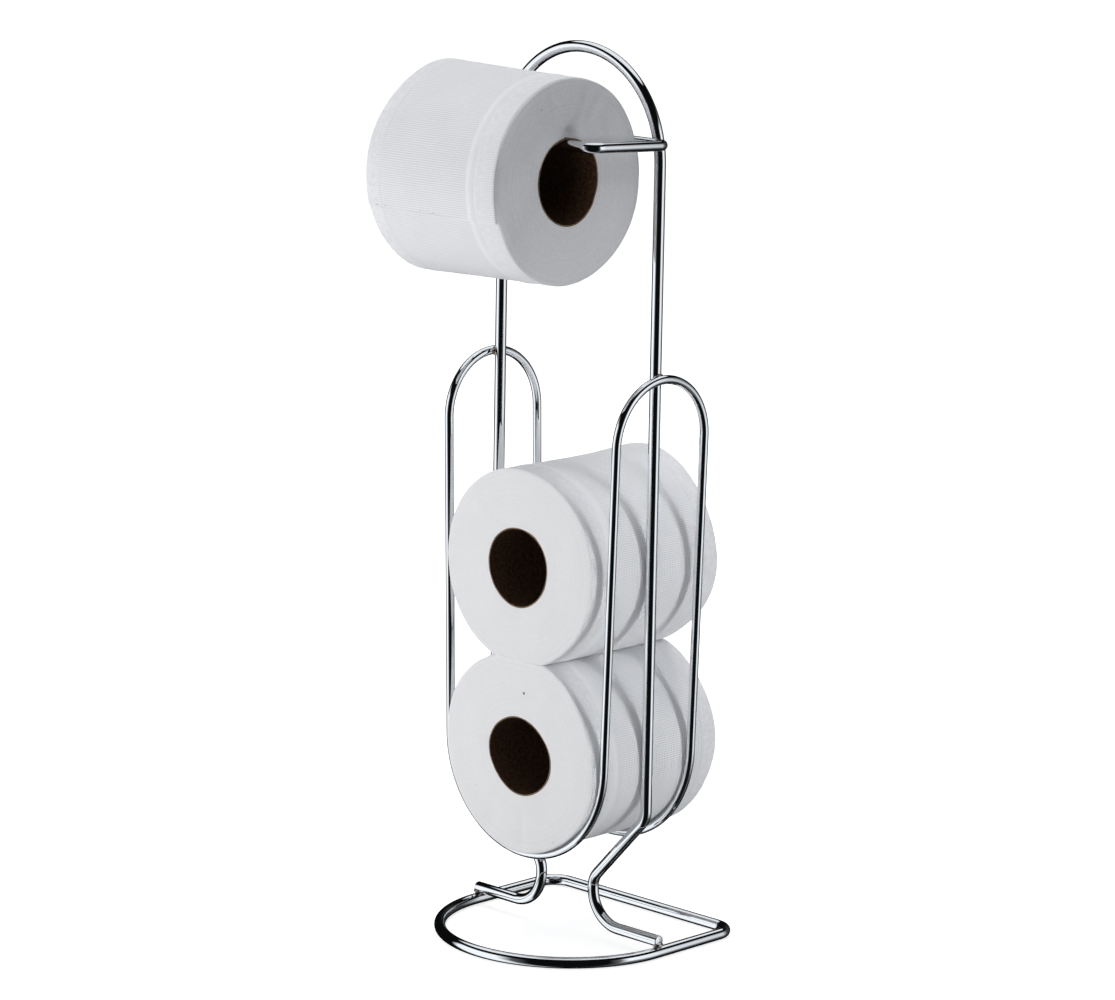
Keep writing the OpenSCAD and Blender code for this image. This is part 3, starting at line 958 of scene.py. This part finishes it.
# Studio

FLOOR_HALF, FLOOR_WHITE_FROM, FLOOR_WHITE_TO = 20.0, 0.25, 0.9
FLOOR_COLOUR, FLOOR_GRAIN, FLOOR_GRAIN_SCALE = (0.66, 0.66, 0.66), 0.985, 300.0
FLOOR_GLOW = 0.72
WHITE = (1, 1, 1)


def mirrored_ray(tree, seen):
    """1 where the ray comes from a mirroring or clear surface, and else 0."""
    return calc(tree, "MAXIMUM", seen["Is Glossy Ray"], seen["Is Transmission Ray"])


def floor_paper():
    """Pale paper that turns white away from the object. Bright metal looks past it."""
    material, tree, shader = shaded("floor_paper", Roughness=1.0, Specular_IOR_Level=0.0)
    seen = add(tree, "LightPath").outputs
    place = add(tree, "TexCoord").outputs["Object"]
    grain = spread(tree, fine_noise(tree, place, FLOOR_GRAIN_SCALE, detail=3.0))
    darker = [tone * FLOOR_GRAIN for tone in FLOOR_COLOUR]
    colour = blend_colours(tree, grain, darker, FLOOR_COLOUR)
    tree.links.new(colour, shader.inputs["Base Color"])
    away = length_of(tree, place)
    inputs = {0: away, 1: FLOOR_WHITE_FROM, 2: FLOOR_WHITE_TO, 3: FLOOR_GLOW, 4: 1.0}
    glow = add(tree, "MapRange", inputs, interpolation_type="SMOOTHSTEP").outputs[0]
    shader.inputs["Emission Color"].default_value = (*WHITE, 1)
    tree.links.new(times(tree, seen["Is Camera Ray"], glow), shader.inputs["Emission Strength"])
    clear = add(tree, "BsdfTransparent").outputs[0]
    through = add(tree, "MixShader", {0: mirrored_ray(tree, seen), 1: shader.outputs[0], 2: clear})
    tree.links.new(through.outputs[0], tree.nodes["Material Output"].inputs["Surface"])
    return material


def lay_floor():
    """The floor, which keeps the object's shadow."""
    bm = bmesh.new()
    bmesh.ops.create_grid(bm, x_segments=1, y_segments=1, size=FLOOR_HALF)
    mesh = bpy.data.meshes.new("floor")
    bm.to_mesh(mesh)
    bm.free()
    mesh.materials.append(floor_paper())
    floor = bpy.data.objects.new("floor", mesh)
    bpy.context.scene.collection.objects.link(floor)


# The studio that the metal mirrors. PANELS and LOW_RIGHT give a level by degrees from the camera,
# to the right. BAND and LOW give one by height, from 0 straight down to 1 straight up. CEILING
# gives one by how nearly a direction faces a place high up behind the object.
AMBIENT = 0.225
SKY_TINT = (0.93, 0.965, 1.0)
SKY_BRIGHT, SKY_DARK = 1.15, 0.004
PANELS = (
    (-180, 0.0), (-114, 0.0), (-105, 1.0), (-62, 1.0), (-47, 0.1), (-32, 0.0), (40, 0.0),
    (50, 0.12), (58, 1.0), (88, 0.85), (101, 0.35), (118, 0.05), (180, 0.0),
)
BAND = ((0.0, 0.6), (0.12, 0.6), (0.22, 1.0), (0.625, 1.0), (0.665, 0.0), (1.0, 0.0))
LOW = ((0.0, 1.0), (0.28, 1.0), (0.42, 0.0), (1.0, 0.0))
LOW_RIGHT = ((-180, 0.0), (10, 0.0), (35, 0.9), (180, 0.9))
CEILING_ELEVATION = radians(70)
CEILING = ((0.0, 0.0), (0.80, 0.0), (0.83, 0.85), (1.0, 0.85))


def around_camera(tree, share, stops):
    """A ramp round the studio, given by degrees from the camera."""
    return ramp(tree, share, [(0.5 + degrees / 360, level) for degrees, level in stops])


def studio_pattern(tree, direction):
    """Dark and bright parts of the studio, seen in a direction."""
    axes = add(tree, "SeparateXYZ", {0: direction}).outputs
    azimuth = calc(tree, "ARCTAN2", axes[0], times(tree, axes[1], -1.0))
    turned = calc(tree, "SUBTRACT", azimuth, CAMERA_AZIMUTH)
    share = calc(tree, "FRACT", plus(tree, calc(tree, "DIVIDE", turned, tau), 1.5))
    height = plus(tree, calc(tree, "DIVIDE", calc(tree, "ARCSINE", axes[2]), pi), 0.5)
    overhead = toward(CAMERA_AZIMUTH + pi, CEILING_ELEVATION)
    facing = add(tree, "VectorMath", {0: direction, 1: overhead}, operation="DOT_PRODUCT")
    shadow = times(tree, ramp(tree, height, LOW), around_camera(tree, share, LOW_RIGHT))
    panels = times(tree, around_camera(tree, share, PANELS), ramp(tree, height, BAND))
    panels = times(tree, panels, calc(tree, "SUBTRACT", 1.0, shadow))
    return plus(tree, panels, ramp(tree, facing.outputs["Value"], CEILING))


def hang_sky():
    """White behind the object, an even light on it, and a pattern that only its metal mirrors."""
    world = bpy.data.worlds.new("studio")
    world.use_nodes = True
    bpy.context.scene.world = world
    tree = world.node_tree
    tree.nodes.clear()
    seen = add(tree, "LightPath").outputs
    pattern = studio_pattern(tree, add(tree, "TexCoord").outputs["Generated"])
    mirrored = plus(tree, times(tree, pattern, SKY_BRIGHT), SKY_DARK)
    lit = add(tree, "Mix", {0: mirrored_ray(tree, seen), 2: AMBIENT, 3: mirrored}).outputs[0]
    level = add(tree, "Mix", {0: seen["Is Camera Ray"], 2: lit, 3: 1.0}).outputs[0]
    tint = blend_colours(tree, seen["Is Camera Ray"], SKY_TINT, WHITE)
    background = add(tree, "Background", {"Color": tint, "Strength": level})
    tree.links.new(background.outputs[0], add(tree, "OutputWorld").inputs[0])


# Soft round lamps. Azimuth, elevation and fan are in degrees, and aim is the height aimed at.
Lamp = namedtuple("Lamp", "name azimuth elevation distance size fan aim power")
LAMPS = (
    Lamp("front", 10, 10, 2.0, 1.2, 180, 0.25, 9.2),
    Lamp("low_left", -38, -9, 1.0, 0.7, 180, 0.25, 6.4),
    Lamp("overhead_rear", -136, 70, 2.0, 1.4, 180, 0.25, 18.7),
    Lamp("overhead_front", 20, 75, 2.2, 1.4, 180, 0.25, 4.9),
    Lamp("high_right", 95, 48, 1.8, 0.9, 180, 0.25, 2.8),
    Lamp("low_right", 104, 4, 1.0, 0.4, 25, 0.19, 0.165),
)


def hang_lamps():
    """Hangs the lamps, each of which lights the object and is not seen itself."""
    for lamp in LAMPS:
        light = bpy.data.lights.new(lamp.name, "AREA")
        light.shape, light.size = "DISK", lamp.size
        light.spread, light.energy = radians(lamp.fan), lamp.power
        away = toward(radians(lamp.azimuth), radians(lamp.elevation))
        turn = away.to_track_quat("Z", "Y").to_matrix().to_4x4()
        hung = bpy.data.objects.new(lamp.name, light)
        hung.matrix_world = Matrix.Translation(UP * lamp.aim + away * lamp.distance) @ turn
        hung.visible_glossy = False
        hung.visible_camera = False
        bpy.context.scene.collection.objects.link(hung)


bpy.context.scene.view_settings.view_transform = "Standard"
place_camera()
lay_floor()
hang_sky()
hang_lamps()
plate, filler = chrome(), weld_metal()
bend_frame(plate)
bend_floor_ring(plate)
bend_cradle(plate)
bend_arm(plate)
weld_beads(filler)
weld_floor_ring(filler)
boards = tube_materials()
stored_rolls(boards)
roll_in_use(boards)
